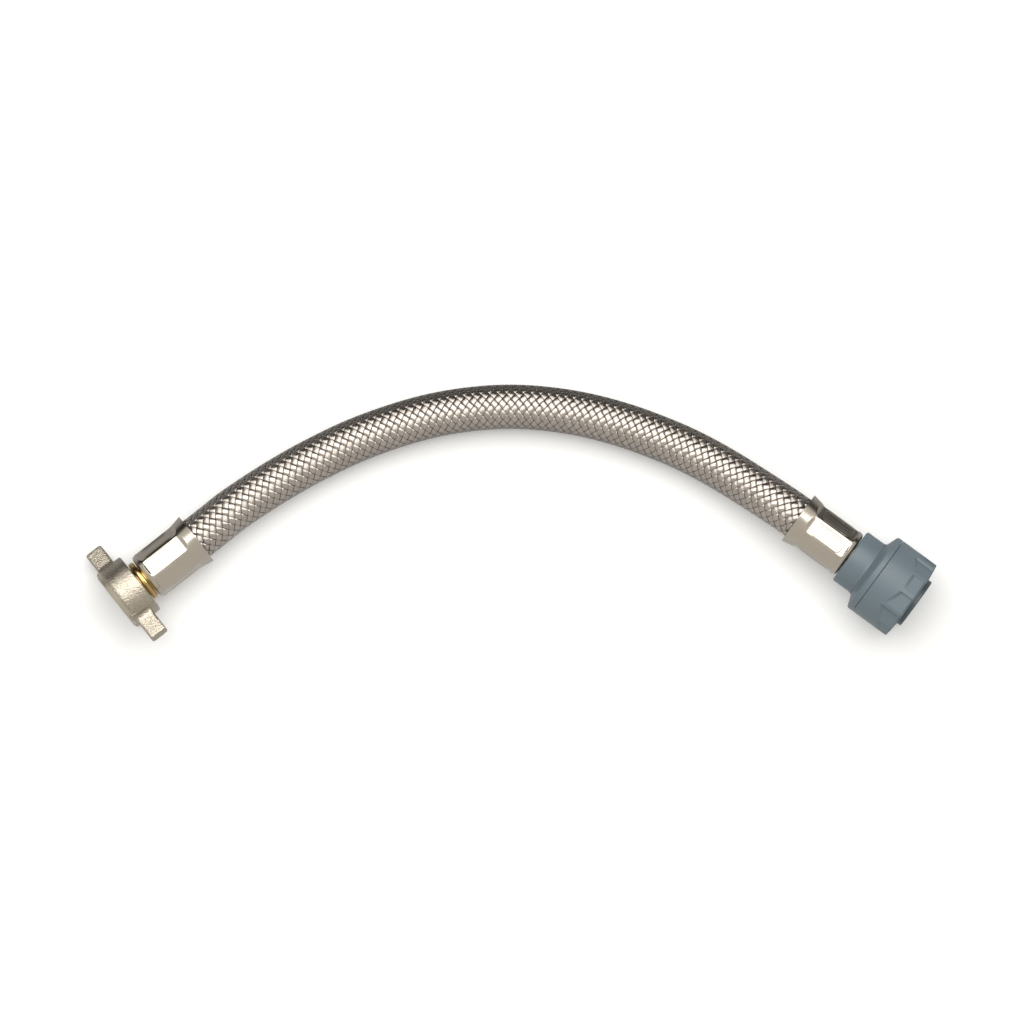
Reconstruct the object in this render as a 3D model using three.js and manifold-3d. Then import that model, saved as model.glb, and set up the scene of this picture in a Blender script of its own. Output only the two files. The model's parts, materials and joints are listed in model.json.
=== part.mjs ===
// A braided supply hose: a rubber liner in a woven steel braid, crimped by an eight-sided
// ferrule at each end. One end carries a swivelling wing nut with a G 3/8 pipe thread on a
// brass stem, the other a plastic push-fit socket for 15 mm pipe with a screw cap.
// Millimetres, +Z up. The hose lies on the plane z = 0 in a long arch.
import * as THREE from "three";
import { mergeVertices } from "three/addons/utils/BufferGeometryUtils.js";
import Module from "manifold-3d";

const wasm = await Module();
wasm.setup();

// ---------------------------------------------------------------- driving dimensions
const GAP = 0.3; // left between pieces that touch
const PLANE_GAP = 0.04; // under the lowest piece
const TURN = 2 * Math.PI;
const SIDES = 24; // of a turned ring

const hose = {
  radius: 7.0, // outside of the braid
  braidWall: 0.8,
  linerWall: 1.2,
  sides: 12,
  steps: 40,
  inFerrule: 18.9, // length pushed into each ferrule
};

const ferrule = {
  length: 20.5,
  wall: 0.45,
  cornerRise: 0.45, // of the round cup over its flats
  flare: 0.85, // of the mouth over the round cup
  flats: 8,
  crimpStart: 3.4,
  crimpFull: 5.6,
  crimpEnd: 17.9,
  crimpGone: 19.0,
};

const stem = {
  wall: 0.84, // under a barb's foot
  barbDepth: 0.4,
  barbPitch: 5.6,
  barbs: 3,
  tailStart: 0.8,
  shoulderWall: 3.2,
  shoulderLength: 0.5,
};

const nut = {
  hubWall: 2.37, // over the thread
  length: 10.0,
  backWall: 2.0,
  float: 0.5, // how far the nut slides along its stem
  mouthEase: 0.17, // of the mouth over the thread
  threadMinor: 7.475, // G 3/8
  threadDepth: 0.856,
  threadPitch: 1.337,
  reliefLength: 0.6,
  threadEase: 0.4, // from the relief to the thread
  mouthDepth: 1.0, // of the cone into the thread
  wingReach: 19.0,
  wingThickness: 4.0,
  wingWidth: 6.0,
  wingFromBack: 2.5,
  wingFillet: 2.4,
  chamfer: 0.9,
  turned: 24, // degrees, how far the wings stand turned from level
};

const nutStem = {
  neckWall: 1.9, // where the ferrule's lip holds it
  collarStep: 1.6, // over the spindle
  collarLength: 1.8,
  spindleInset: 2.075, // of the spindle that the nut turns on, from the thread
  flangeInset: 0.325, // of the flange, from the thread
  flangeThickness: 1.2,
};

const sealingWasher = { inset: 0.375, holeEase: 1.25, thickness: 1.5 };

const pipe = { radius: 7.5, clearance: 0.15 };

const fitting = {
  neckRadius: 9.55,
  neckLength: 7.3,
  shoulderLength: 1.6,
  rimWall: 2.6, // over the barrel
  rimLength: 1.9,
  stemWall: 1.45,
  stemLength: 7.2, // of the stem inside the fitting
  stemBoreLength: 2.7,
  chamberRoom: 1.8, // round the stem's seal and clip
  stopInset: 2.1, // from the cap's parting line back to the pipe stop
  sealSeatRoom: 2.55, // round the pipe
  sealSeatDepth: 3.9,
  barrelLength: 7.3,
  barrelWall: 1.1,
};

const stemSeal = { sectionRadius: 0.55 };
const stemClip = { thickness: 0.8, depth: 0.45, opening: 60 };
const pipeSeal = { sectionRadius: 1.25 };
const spacer = { thickness: 1.0, holeEase: 0.15 };
const grabRing = { thickness: 0.5, overhang: 0.4, teeth: 16, toothLength: 1.55, bite: 0.15 };

const cap = {
  length: 13.1,
  endRise: 0.6, // the end face rises towards the pipe hole
  endWall: 2.9,
  chamberInset: 0.4, // from the barrel's outside
  grips: 12,
  gripDepth: 0.75,
  gripLength: 6.6,
  gripLean: 3.0, // degrees, which makes each grip a ratchet step
  edge: 0.35,
};

const collet = {
  wall: 0.95,
  flangeThickness: 1.2,
  proud: 1.4, // of the cap's end face
};

// Where each ferrule's mouth is, which way its axis points from there, and its rise.
const nutEnd = { mouth: [-101.6, 9.4, 9.25], heading: 218.2, rise: 3.8 };
const fittingEnd = { mouth: [92.5, 16.2, 12.7], heading: -36.2, rise: 2.5 };

// How far each ferrule was turned about its axis when it was crimped, in degrees.
const crimpTurn = { nutEnd: -4, fittingEnd: -15 };

// The hose's route between the two mouths, laid on the plane in one long arch.
const route = [
  [-96.1, 13.7, 8.75],
  [-90.6, 18.1, 8.3],
  [-84.1, 22.6, 7.85],
  [-77.6, 26.8, 7.5],
  [-71.1, 30.7, 7.25],
  [-64.6, 34.3, 7.12],
  [-51.9, 40.5, 7.05],
  [-39.0, 45.4, 7.05],
  [-26.1, 49.1, 7.05],
  [-13.2, 51.3, 7.05],
  [-0.3, 52.1, 7.05],
  [12.6, 51.3, 7.05],
  [25.5, 49.1, 7.05],
  [38.4, 45.5, 7.05],
  [51.3, 40.6, 7.25],
  [57.7, 37.7, 7.6],
  [64.2, 34.3, 8.2],
  [70.6, 30.6, 9.0],
  [77.1, 26.5, 10.0],
  [83.1, 22.6, 11.2],
  [87.8, 19.5, 12.1],
];

// Colour, roughness and metalness of each finish.
const finishes = {
  braid: { color: 0xa39b92, roughness: 0.35, metalness: 1.0 },
  steel: { color: 0xbab4aa, roughness: 0.28, metalness: 1.0 },
  nickel: { color: 0xb5aca0, roughness: 0.4, metalness: 1.0 },
  brass: { color: 0xc79a3a, roughness: 0.25, metalness: 1.0 },
  liner: { color: 0x2b2a28, roughness: 0.8, metalness: 0.0 },
  rubber: { color: 0x1c1c1c, roughness: 0.7, metalness: 0.0 },
  fibre: { color: 0x8a2f26, roughness: 0.8, metalness: 0.0 },
  plastic: { color: 0x7a8a92, roughness: 0.45, metalness: 0.0 },
  collet: { color: 0x66747a, roughness: 0.5, metalness: 0.0 },
};

// ---------------------------------------------------------------- places worked out
// Along each end's axis, 0 is the ferrule's mouth and the numbers grow outwards.
const radians = THREE.MathUtils.degToRad;
const braidInner = hose.radius - hose.braidWall;
const linerOuter = braidInner - GAP;
const linerInner = linerOuter - hose.linerWall;
const barbRadius = linerInner * Math.cos(Math.PI / hose.sides) - GAP;
const flatRadius = hose.radius + GAP + ferrule.wall; // half the ferrule's width over its flats
const roundRadius = flatRadius + ferrule.cornerRise;
const mouthRadius = roundRadius + ferrule.flare;
const stemBore = barbRadius - stem.barbDepth - stem.wall;
const shoulderRadius = stemBore + stem.shoulderWall;

const shoulderAt = hose.inFerrule + GAP;
const collarAt = ferrule.length + GAP;
const nutBack = collarAt + nutStem.collarLength + GAP;
const nutFront = nutBack + nut.length;
const flangeAt = nutBack + nut.backWall + nut.float + GAP;
const washerAt = flangeAt + nutStem.flangeThickness + GAP;
const threadFrom = nutBack + nut.backWall + nut.reliefLength + nut.threadEase;
const threadTo = nutFront - nut.mouthDepth;
const threadMajor = nut.threadMinor + nut.threadDepth;
const nutMouthRadius = threadMajor + nut.mouthEase;
const hubRadius = threadMajor + nut.hubWall;
const spindleRadius = nut.threadMinor - nutStem.spindleInset;
const collarRadius = spindleRadius + nutStem.collarStep;
const flangeRadius = nut.threadMinor - nutStem.flangeInset;
const neckRadius = stemBore + nutStem.neckWall;

const fittingAt = ferrule.length + GAP;
const shoulderConeAt = fittingAt + fitting.neckLength;
const rimAt = shoulderConeAt + fitting.shoulderLength;
const partingAt = rimAt + fitting.rimLength;
const pipeStopAt = partingAt - fitting.stopInset;
const barrelEnd = partingAt + fitting.barrelLength;
const sealSeatAt = barrelEnd - fitting.sealSeatDepth;
const pipeBore = pipe.radius + pipe.clearance;
const sealSeatRadius = pipeBore + fitting.sealSeatRoom;
const barrelRadius = sealSeatRadius + fitting.barrelWall;
const rimRadius = barrelRadius + fitting.rimWall;
const fittingStemRadius = stemBore + fitting.stemWall;
const stemChamberRadius = fittingStemRadius + fitting.chamberRoom;
const chamberAt = fittingAt + fitting.stemBoreLength;
const stemSealAt = chamberAt + GAP + stemSeal.sectionRadius;
const clipAt = stemSealAt + stemSeal.sectionRadius + 2 * GAP;

const capAt = partingAt + GAP;
const capEnd = capAt + cap.length;
const capFace = capEnd + cap.endRise;
const capBore = barrelRadius + GAP;
const capChamberRadius = barrelRadius - cap.chamberInset;
const capStepAt = barrelEnd + GAP;
const endWallAt = capFace - cap.endWall;
const colletRadius = pipeBore + collet.wall;
const colletEnd = capFace + collet.proud;
const colletAt = endWallAt - GAP - collet.flangeThickness;
const pipeSealAt = sealSeatAt + GAP + pipeSeal.sectionRadius;
const spacerAt = pipeSealAt + pipeSeal.sectionRadius + GAP;
const grabRingAt = spacerAt + spacer.thickness + GAP;

// ---------------------------------------------------------------- making shapes
// A geometry as a manifold-3d solid: only its positions count, with shared corners merged.
function toSolid(geometry) {
  const bare = geometry.clone();
  bare.deleteAttribute("normal");
  bare.deleteAttribute("uv");
  const merged = mergeVertices(bare, 1e-4);
  return new wasm.Manifold(
    new wasm.Mesh({
      numProp: 3,
      vertProperties: merged.attributes.position.array,
      triVerts: new Uint32Array(merged.index.array),
    }),
  );
}

function toGeometry(solid) {
  const mesh = solid.getMesh();
  return new THREE.BufferGeometry()
    .setAttribute("position", new THREE.BufferAttribute(mesh.vertProperties, 3))
    .setIndex(new THREE.BufferAttribute(mesh.triVerts, 1));
}

// A ring turned about the axis from a closed outline of [radius, place along the axis].
function turned(outline, segments = SIDES) {
  const points = outline.map(([radius, along]) => new THREE.Vector2(radius, along));
  if (THREE.ShapeUtils.area(points) < 0) points.reverse();
  points.push(points[0].clone());
  return new THREE.LatheGeometry(points, segments).rotateX(Math.PI / 2);
}

// A round-section ring whose middle lies at a radius and a place along the axis.
function sealRing(middleRadius, along, sectionRadius) {
  return new THREE.TorusGeometry(middleRadius, sectionRadius, 8, 24).translate(0, 0, along);
}

// An outline of [x, y] points pushed along the axis from a place.
function plate(shape, along, thickness) {
  const made = new THREE.ExtrudeGeometry(shape, { depth: thickness, bevelEnabled: false });
  return made.translate(0, 0, along);
}

// A ridge wound about the axis: its section of [radius, along] points climbs one pitch a turn.
// It has a step at each corner of a ring with SIDES sides, so that the two cut cleanly.
function helix(section, start, pitch, turns) {
  const shape = new THREE.Shape(section.map(([radius, along]) => new THREE.Vector2(radius, along)));
  const steps = Math.floor(turns * SIDES);
  const straight = new THREE.ExtrudeGeometry(shape, {
    depth: (steps * TURN) / SIDES,
    steps,
    bevelEnabled: false,
  });
  const at = straight.attributes.position;
  for (let i = 0; i < at.count; i++) {
    const radius = at.getX(i);
    const angle = at.getZ(i);
    const along = at.getY(i) + start + (pitch * angle) / TURN;
    at.setXYZ(i, radius * Math.cos(angle), radius * Math.sin(angle), along);
  }
  return straight;
}

// A thread's section between two radii: wide at the root and narrow at the crest.
function threadSection(rootRadius, crestRadius, rootWidth, crestWidth) {
  return [
    [rootRadius, -rootWidth / 2],
    [crestRadius, -crestWidth / 2],
    [crestRadius, crestWidth / 2],
    [rootRadius, rootWidth / 2],
  ];
}

// ---------------------------------------------------------------- hose
function hoseTube(outer, inner, curve) {
  const ring = (radius) =>
    Array.from({ length: hose.sides }, (_, i) => {
      const angle = (i * TURN) / hose.sides;
      return new THREE.Vector2(radius * Math.cos(angle), radius * Math.sin(angle));
    });
  const shape = new THREE.Shape(ring(outer));
  shape.holes.push(new THREE.Path(ring(inner)));
  return new THREE.ExtrudeGeometry(shape, { steps: hose.steps, extrudePath: curve });
}

// A point on an end's axis in the part's frame.
function onAxis(end, along) {
  const heading = radians(end.heading);
  const rise = radians(end.rise);
  const way = new THREE.Vector3(
    Math.cos(rise) * Math.cos(heading),
    Math.cos(rise) * Math.sin(heading),
    Math.sin(rise),
  );
  return new THREE.Vector3(...end.mouth).addScaledVector(way, along);
}

function hoseCurve() {
  const inEnd = [hose.inFerrule, hose.inFerrule / 2, 0];
  const points = [
    ...inEnd.map((along) => onAxis(nutEnd, along)),
    ...route.map((point) => new THREE.Vector3(...point)),
    ...inEnd.reverse().map((along) => onAxis(fittingEnd, along)),
  ];
  return new THREE.CatmullRomCurve3(points, false, "centripetal");
}

// ---------------------------------------------------------------- ferrule
// A cup with a flared mouth and a lip that closes on the stem, then pressed to eight flats.
function ferruleShape(lipRadius, turnDegrees) {
  const end = ferrule.length;
  const outside = [
    [mouthRadius - 0.15, 0],
    [mouthRadius, 0.2],
    [mouthRadius - 0.05, 1.4],
    [mouthRadius - 0.3, 2.4],
    [roundRadius + 0.15, ferrule.crimpStart],
    [roundRadius, ferrule.crimpFull],
    [roundRadius, ferrule.crimpEnd],
    [roundRadius - 0.05, ferrule.crimpGone],
    [roundRadius - 0.6, end - 0.25],
    [roundRadius - 1.3, end],
  ];
  const inside = [
    [roundRadius - 1.3, end - ferrule.wall],
    [roundRadius - ferrule.wall, ferrule.crimpGone],
    [roundRadius - ferrule.wall, ferrule.crimpEnd],
    [roundRadius - ferrule.wall, ferrule.crimpFull],
    [roundRadius + 0.15 - ferrule.wall, ferrule.crimpStart],
    [mouthRadius - 0.3 - ferrule.wall, 2.4],
    [mouthRadius - ferrule.wall, 0],
  ];
  const lip = [
    [lipRadius, end],
    [lipRadius, end - ferrule.wall],
  ];
  const made = turned([...outside, ...lip, ...inside], ferrule.flats * 4);
  const smooth = THREE.MathUtils.smoothstep;
  const flatAngle = TURN / ferrule.flats;
  const at = made.attributes.position;
  for (let i = 0; i < at.count; i++) {
    const [x, y, along] = [at.getX(i), at.getY(i), at.getZ(i)];
    const radius = Math.hypot(x, y);
    const pressed =
      smooth(along, ferrule.crimpStart - 1, ferrule.crimpFull) *
      (1 - smooth(along, ferrule.crimpEnd, ferrule.crimpGone));
    const fromCorner = THREE.MathUtils.euclideanModulo(Math.atan2(y, x), flatAngle);
    const flat = flatRadius / Math.cos(fromCorner - flatAngle / 2);
    const moved = radius + pressed * (flat - roundRadius);
    at.setXY(i, (x * moved) / radius, (y * moved) / radius);
  }
  return made.rotateZ(radians(turnDegrees));
}

// ---------------------------------------------------------------- stems
// The barbed tail inside the liner and the shoulder behind the ferrule's lip.
function tailOutline() {
  const points = [
    [stemBore, stem.tailStart],
    [barbRadius - stem.barbDepth - 0.3, stem.tailStart],
  ];
  for (let i = 0; i < stem.barbs; i++) {
    const foot = stem.tailStart + 0.3 + i * stem.barbPitch;
    points.push([barbRadius - stem.barbDepth, foot]);
    points.push([barbRadius, foot + stem.barbPitch * 0.7]);
    points.push([barbRadius - stem.barbDepth, foot + stem.barbPitch * 0.7 + 0.2]);
  }
  points.push([barbRadius - stem.barbDepth, shoulderAt]);
  points.push([shoulderRadius, shoulderAt]);
  points.push([shoulderRadius, shoulderAt + stem.shoulderLength]);
  return points;
}

function nutStemShape() {
  const collarEnd = collarAt + nutStem.collarLength;
  return turned([
    ...tailOutline(),
    [neckRadius, shoulderAt + stem.shoulderLength],
    [neckRadius, collarAt],
    [collarRadius - 0.5, collarAt],
    [collarRadius - 0.1, collarAt + 0.4],
    [collarRadius, (collarAt + collarEnd) / 2],
    [collarRadius - 0.1, collarEnd - 0.4],
    [collarRadius - 0.5, collarEnd],
    [spindleRadius, collarEnd],
    [spindleRadius, flangeAt],
    [flangeRadius, flangeAt],
    [flangeRadius, flangeAt + nutStem.flangeThickness],
    [stemBore, flangeAt + nutStem.flangeThickness],
  ]);
}

function fittingStemShape() {
  const end = fittingAt + fitting.stemLength;
  const groove = fittingStemRadius - stemClip.depth;
  return turned([
    ...tailOutline(),
    [fittingStemRadius, shoulderAt + stem.shoulderLength],
    [fittingStemRadius, clipAt - GAP],
    [groove, clipAt - GAP],
    [groove, clipAt + stemClip.thickness + GAP],
    [fittingStemRadius, clipAt + stemClip.thickness + GAP],
    [fittingStemRadius - 0.3, end],
    [stemBore, end],
  ]);
}

// ---------------------------------------------------------------- wing nut
// Two wings in one outline, each blending into the hub with a fillet.
function wingsShape() {
  const half = nut.wingThickness / 2;
  const corner = 0.7;
  const reach = nut.wingReach;
  const onHub = half + nut.wingFillet * 0.8;
  const hubAlong = Math.sqrt(hubRadius ** 2 - onHub ** 2) - 0.1;
  const fillet = hubAlong + nut.wingFillet;
  const shape = new THREE.Shape();
  shape.moveTo(half, fillet);
  shape.lineTo(half, reach - corner);
  shape.lineTo(half - corner, reach);
  shape.lineTo(corner - half, reach);
  shape.lineTo(-half, reach - corner);
  shape.lineTo(-half, fillet);
  shape.quadraticCurveTo(-half, hubAlong + 0.6, -onHub, hubAlong);
  shape.lineTo(-onHub, -hubAlong);
  shape.quadraticCurveTo(-half, -hubAlong - 0.6, -half, -fillet);
  shape.lineTo(-half, corner - reach);
  shape.lineTo(corner - half, -reach);
  shape.lineTo(half - corner, -reach);
  shape.lineTo(half, corner - reach);
  shape.lineTo(half, -fillet);
  shape.quadraticCurveTo(half, -hubAlong - 0.6, onHub, -hubAlong);
  shape.lineTo(onHub, hubAlong);
  shape.quadraticCurveTo(half, hubAlong + 0.6, half, fillet);
  return shape;
}

function wingNutShape() {
  const hub = turned([
    [0, nutBack],
    [hubRadius - 0.5, nutBack],
    [hubRadius, nutBack + 0.5],
    [hubRadius, nutFront - nut.chamfer - 0.4],
    [hubRadius - nut.chamfer, nutFront],
    [0, nutFront],
  ], 2 * SIDES);
  const throughHole = spindleRadius + GAP;
  const relief = nutBack + nut.backWall;
  const bore = turned([
    [0, nutBack - 1],
    [throughHole, nutBack - 1],
    [throughHole, relief],
    [threadMajor + 0.1, relief],
    [threadMajor + 0.1, relief + nut.reliefLength],
    [nut.threadMinor, threadFrom],
    [nut.threadMinor, threadTo],
    [nutMouthRadius, nutFront],
    [nutMouthRadius, nutFront + 1],
    [0, nutFront + 1],
  ]);
  const grooveWidth = nut.threadPitch * 0.9;
  const groove = helix(
    threadSection(nut.threadMinor - 0.25, threadMajor, grooveWidth, 0.25),
    threadFrom + grooveWidth / 2 + 0.05,
    nut.threadPitch,
    (threadTo - threadFrom - grooveWidth - 0.1) / nut.threadPitch,
  );
  const wings = plate(wingsShape(), nutBack + nut.wingFromBack, nut.wingWidth);
  const solid = toSolid(hub).add(toSolid(wings)).subtract(toSolid(bore)).subtract(toSolid(groove));
  return toGeometry(solid).rotateZ(radians(nut.turned));
}

function ringShape(radius, holeRadius, along, thickness) {
  return turned([
    [holeRadius, along],
    [radius, along],
    [radius, along + thickness],
    [holeRadius, along + thickness],
  ]);
}

// ---------------------------------------------------------------- push-fit end
function fittingBodyShape() {
  const neck = fitting.neckRadius;
  const bore = fittingStemRadius + GAP;
  return turned([
    [bore, fittingAt],
    [neck - 0.6, fittingAt],
    [neck, fittingAt + 0.6],
    [neck, shoulderConeAt - 0.4],
    [neck + 0.3, shoulderConeAt],
    [rimRadius - 0.3, rimAt - 0.2],
    [rimRadius, rimAt + 0.1],
    [rimRadius, partingAt],
    [barrelRadius, partingAt],
    [barrelRadius, barrelEnd],
    [sealSeatRadius, barrelEnd],
    [sealSeatRadius, sealSeatAt],
    [pipeBore, sealSeatAt],
    [pipeBore, pipeStopAt],
    [stemChamberRadius, pipeStopAt],
    [stemChamberRadius, chamberAt],
    [bore, chamberAt],
  ], 2 * SIDES);
}

function capShape() {
  const hole = colletRadius + GAP;
  const shell = turned([
    [capBore, capAt],
    [rimRadius - 0.2, capAt],
    [rimRadius, capAt + 0.2],
    [rimRadius, capEnd - cap.edge],
    [rimRadius - cap.edge, capEnd],
    [hole, capFace],
    [hole, endWallAt],
    [capChamberRadius, endWallAt],
    [capChamberRadius, capStepAt],
    [capBore, capStepAt],
  ], 2 * SIDES);
  let solid = toSolid(shell);
  const wide = (TURN * rimRadius) / cap.grips;
  const slope = Math.atan2(cap.gripDepth, cap.gripLength);
  for (let i = 0; i < cap.grips; i++) {
    const thick = 4;
    const cutter = new THREE.BoxGeometry(thick, wide, cap.gripLength * 4)
      .translate(rimRadius - cap.gripDepth / 2 + thick / 2, 0, 0)
      .rotateZ(radians(-cap.gripLean))
      .translate(-rimRadius, 0, 0)
      .rotateY(-slope)
      .translate(rimRadius - cap.gripDepth / 2, 0, capEnd)
      .rotateZ((i * TURN) / cap.grips);
    solid = solid.subtract(toSolid(cutter));
  }
  return toGeometry(solid);
}

function colletShape() {
  return turned([
    [pipeBore, colletAt],
    [sealSeatRadius, colletAt],
    [sealSeatRadius, colletAt + collet.flangeThickness],
    [colletRadius, colletAt + collet.flangeThickness],
    [colletRadius, colletEnd - 0.3],
    [colletRadius - 0.3, colletEnd],
    [pipeBore + 0.3, colletEnd],
    [pipeBore, colletEnd - 0.3],
  ]);
}

function clipShape() {
  const inner = fittingStemRadius - stemClip.depth + GAP;
  const outer = stemChamberRadius - GAP;
  const from = radians(stemClip.opening / 2);
  const to = TURN - from;
  const shape = new THREE.Shape();
  shape.absarc(0, 0, outer, from, to, false);
  shape.absarc(0, 0, inner, to, from, true);
  shape.closePath();
  return plate(shape, clipAt, stemClip.thickness);
}

// A flat spring ring with teeth that point in at the pipe.
function grabRingShape() {
  const shape = new THREE.Shape();
  shape.absarc(0, 0, sealSeatRadius + grabRing.overhang, 0, TURN, false);
  const toothTip = pipe.radius - grabRing.bite;
  const toothRoot = toothTip + grabRing.toothLength;
  const pitch = TURN / grabRing.teeth;
  const teeth = [];
  for (let i = 0; i < grabRing.teeth; i++) {
    for (const [radius, share] of [
      [toothRoot, 0],
      [toothTip, 0.2],
      [toothTip, 0.7],
      [toothRoot, 0.9],
    ]) {
      const angle = (i + share) * pitch;
      teeth.push(new THREE.Vector2(radius * Math.cos(angle), radius * Math.sin(angle)));
    }
  }
  shape.holes.push(new THREE.Path(teeth));
  return plate(shape, grabRingAt, grabRing.thickness);
}

// ---------------------------------------------------------------- assembly
function piece(name, geometry, finish) {
  const mesh = new THREE.Mesh(geometry, new THREE.MeshStandardMaterial(finishes[finish]));
  mesh.name = name;
  return mesh;
}

// A group whose +Z runs out along an end's axis from its ferrule's mouth.
function endGroup(end, pieces) {
  const group = new THREE.Group();
  group.position.set(...end.mouth);
  group.rotation.set(0, Math.PI / 2 - radians(end.rise), radians(end.heading), "ZYX");
  group.add(...pieces);
  return group;
}

const curve = hoseCurve();
const hosePieces = [
  piece("hose_braid", hoseTube(hose.radius, braidInner, curve), "braid"),
  piece("hose_liner", hoseTube(linerOuter, linerInner, curve), "liner"),
];

const nutPieces = [
  piece("ferrule_nut_end", ferruleShape(neckRadius + GAP, crimpTurn.nutEnd), "steel"),
  piece("nut_stem", nutStemShape(), "brass"),
  piece("wing_nut", wingNutShape(), "nickel"),
  piece(
    "sealing_washer",
    ringShape(
      nut.threadMinor - sealingWasher.inset,
      stemBore + sealingWasher.holeEase,
      washerAt,
      sealingWasher.thickness,
    ),
    "fibre",
  ),
];

const sealMiddle = fittingStemRadius + (stemChamberRadius - fittingStemRadius) / 2;
const pipeSealMiddle = sealSeatRadius - GAP - pipeSeal.sectionRadius;
const fittingPieces = [
  piece(
    "ferrule_fitting_end",
    ferruleShape(fittingStemRadius + GAP, crimpTurn.fittingEnd),
    "steel",
  ),
  piece("fitting_stem", fittingStemShape(), "brass"),
  piece("stem_seal", sealRing(sealMiddle, stemSealAt, stemSeal.sectionRadius), "rubber"),
  piece("stem_clip", clipShape(), "steel"),
  piece("fitting_body", fittingBodyShape(), "plastic"),
  piece("pipe_seal", sealRing(pipeSealMiddle, pipeSealAt, pipeSeal.sectionRadius), "rubber"),
  piece(
    "spacer_ring",
    ringShape(sealSeatRadius - GAP, pipeBore + spacer.holeEase, spacerAt, spacer.thickness),
    "collet",
  ),
  piece("grab_ring", grabRingShape(), "steel"),
  piece("screw_cap", capShape(), "plastic"),
  piece("release_collet", colletShape(), "collet"),
];

const supplyHose = new THREE.Group();
supplyHose.add(...hosePieces);
supplyHose.add(endGroup(nutEnd, nutPieces));
supplyHose.add(endGroup(fittingEnd, fittingPieces));

// Set down on the plane, whatever its sizes.
const lowest = new THREE.Box3().setFromObject(supplyHose, true).min.z;
supplyHose.position.z = PLANE_GAP - lowest;

export default supplyHose;
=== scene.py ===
"""The looks of a braided supply hose, lying on a pale floor and seen from straight above.

Sizes inside the classes are in millimetres, as on a drawing, and Axis and Route turn them to metres.
"""

import json
import logging
import math
from collections.abc import Callable, Sequence
from dataclasses import dataclass, field
from enum import Enum

import bpy
import numpy as np
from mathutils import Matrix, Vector


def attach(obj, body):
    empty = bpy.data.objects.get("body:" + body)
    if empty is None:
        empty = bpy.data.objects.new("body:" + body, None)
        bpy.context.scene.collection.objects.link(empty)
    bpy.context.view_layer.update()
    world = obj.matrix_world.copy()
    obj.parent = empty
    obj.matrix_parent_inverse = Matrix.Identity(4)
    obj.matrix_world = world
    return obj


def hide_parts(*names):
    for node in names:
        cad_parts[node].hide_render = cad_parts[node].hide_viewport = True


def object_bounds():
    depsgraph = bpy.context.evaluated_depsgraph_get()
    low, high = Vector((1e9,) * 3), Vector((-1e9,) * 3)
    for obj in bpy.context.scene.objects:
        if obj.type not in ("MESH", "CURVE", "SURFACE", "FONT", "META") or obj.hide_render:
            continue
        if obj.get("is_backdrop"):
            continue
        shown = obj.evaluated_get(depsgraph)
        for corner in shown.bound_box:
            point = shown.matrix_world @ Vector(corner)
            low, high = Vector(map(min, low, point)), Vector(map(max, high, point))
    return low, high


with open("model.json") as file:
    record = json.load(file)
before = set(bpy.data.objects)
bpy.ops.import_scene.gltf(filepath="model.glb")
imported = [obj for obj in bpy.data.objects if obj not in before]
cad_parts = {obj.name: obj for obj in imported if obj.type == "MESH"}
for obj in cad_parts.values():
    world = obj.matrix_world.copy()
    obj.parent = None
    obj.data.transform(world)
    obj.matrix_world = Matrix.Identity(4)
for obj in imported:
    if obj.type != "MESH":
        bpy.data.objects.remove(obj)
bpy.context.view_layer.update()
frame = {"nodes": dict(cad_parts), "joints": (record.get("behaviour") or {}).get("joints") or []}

MM = 0.001
TURN = 2 * math.pi

log = logging.getLogger("supply_hose")

# Where each ferrule's mouth is, in metres.
NUT_MOUTH = (-0.1016, 0.0094, 0.00925)
FITTING_MOUTH = (0.0925, 0.0162, 0.0127)

# The hose's route between the two mouths, laid on the plane in one long arch, in metres.
ROUTE = (
    (-0.0961, 0.0137, 0.00875),
    (-0.0906, 0.0181, 0.0083),
    (-0.0841, 0.0226, 0.00785),
    (-0.0776, 0.0268, 0.0075),
    (-0.0711, 0.0307, 0.00725),
    (-0.0646, 0.0343, 0.00712),
    (-0.0519, 0.0405, 0.00705),
    (-0.0390, 0.0454, 0.00705),
    (-0.0261, 0.0491, 0.00705),
    (-0.0132, 0.0513, 0.00705),
    (-0.0003, 0.0521, 0.00705),
    (0.0126, 0.0513, 0.00705),
    (0.0255, 0.0491, 0.00705),
    (0.0384, 0.0455, 0.00705),
    (0.0513, 0.0406, 0.00725),
    (0.0577, 0.0377, 0.0076),
    (0.0642, 0.0343, 0.0082),
    (0.0706, 0.0306, 0.0090),
    (0.0771, 0.0265, 0.0100),
    (0.0831, 0.0226, 0.0112),
    (0.0878, 0.0195, 0.0121),
)


class Body(str, Enum):
    """The rigid bodies that the pieces ride."""

    HOSE = "hose"
    WASHER = "washer"
    NUT = "nut"
    GRAB = "grab"
    CAP = "cap"
    COLLET = "collet"


class Slot(str, Enum):
    """The record's material slots."""

    BRAID = "steel_braid"
    FERRULE = "ferrule_steel"
    NICKEL = "nickel_plate"
    BRASS = "brass"
    LINER = "liner_rubber"
    SEAL = "seal_rubber"
    FIBRE = "washer_fibre"
    PLASTIC = "grey_plastic"
    COLLET = "collet_plastic"
    SPRING = "spring_steel"


# ---------------------------------------------------------------- lines and meshes
def smooth_step(x: np.ndarray, start: float, end: float) -> np.ndarray:
    """Climbs smoothly from 0 at start to 1 at end.

    Args:
        x: where to work it out.
        start: where it leaves 0.
        end: where it reaches 1.

    Returns:
        The values, in x's shape.
    """
    t = np.clip((x - start) / (end - start), 0.0, 1.0)
    return t * t * (3.0 - 2.0 * t)


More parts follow.
